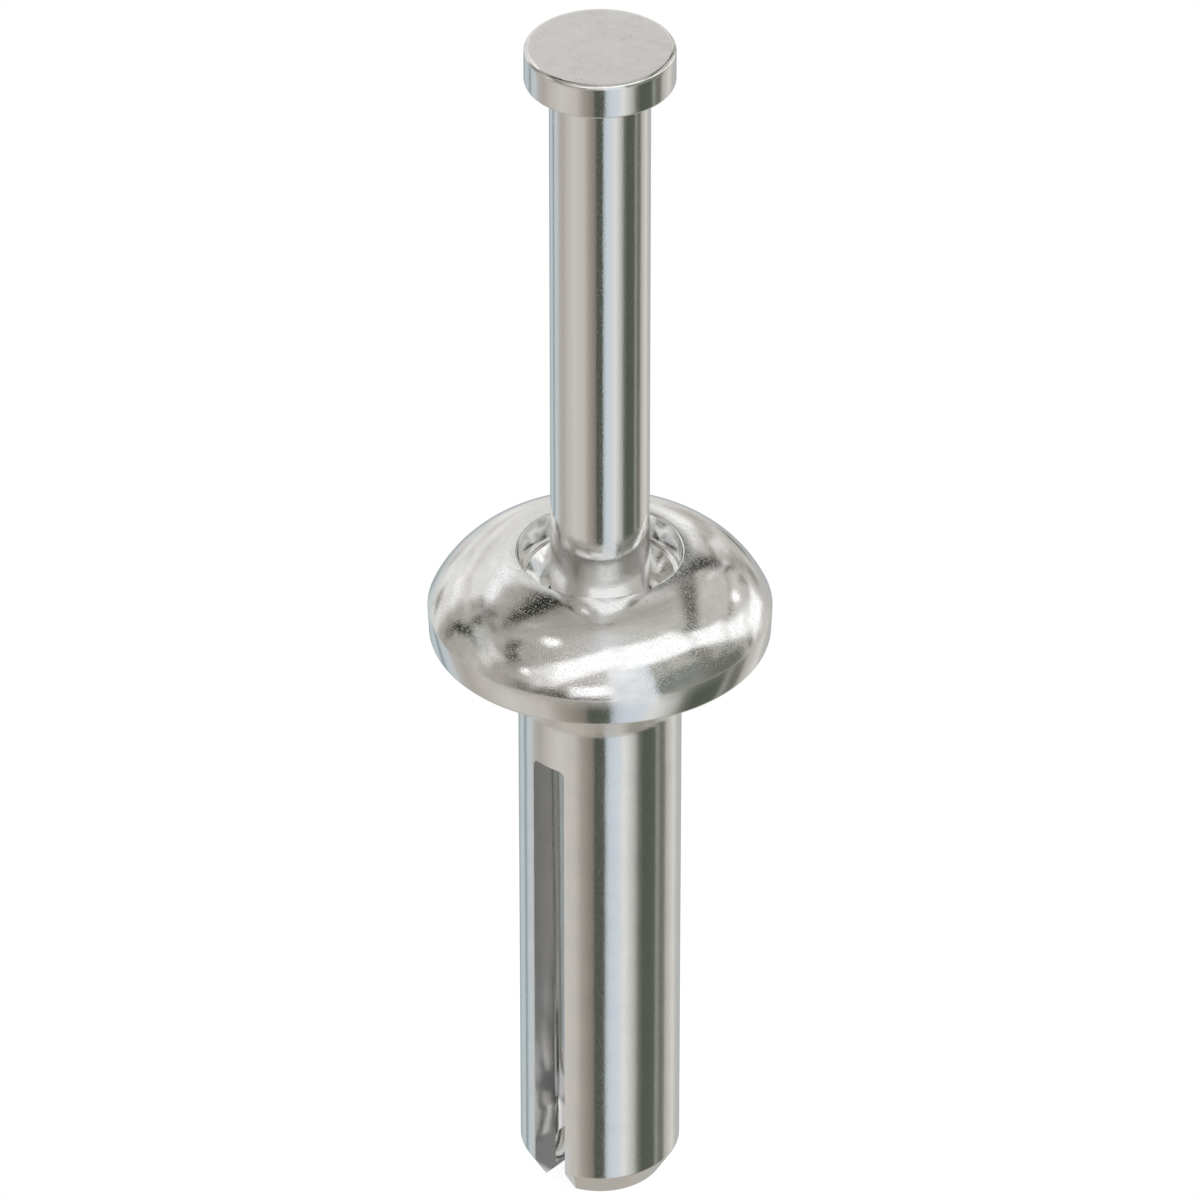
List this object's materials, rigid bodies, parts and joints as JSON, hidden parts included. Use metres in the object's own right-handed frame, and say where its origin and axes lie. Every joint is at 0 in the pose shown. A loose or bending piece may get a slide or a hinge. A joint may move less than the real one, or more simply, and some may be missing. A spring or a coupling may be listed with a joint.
{
  "type": "hammer drive anchor",
  "caption": "Hammer drive anchor: a split zinc sleeve with a mushroom flange, and a headed steel pin that is driven into it to spread the legs in a drilled hole.",
  "frame": {"origin": "centre of the flat face at the tip of the sleeve, where the anchor stands", "axes": "+Z along the anchor's axis from the sleeve's tip to the head of the pin; the slot lies in the YZ plane, with one leg of the sleeve at +X and one at -X"},
  "size_m": [0.0134, 0.0134, 0.0519],
  "materials": {
    "die_cast_zinc": "gloss",
    "steel_pin": "satin"
  },
  "bodies": {
    "anchor_body": {"anchor_body": "die_cast_zinc"},
    "drive_pin": {"drive_pin": "steel_pin"}
  },
  "joints": [
    {"name": "pin_drive", "type": "slide", "parent": "anchor_body", "child": "drive_pin", "axis": [0, 0, -1], "range_m": [0, 0.02235]}
  ]
}
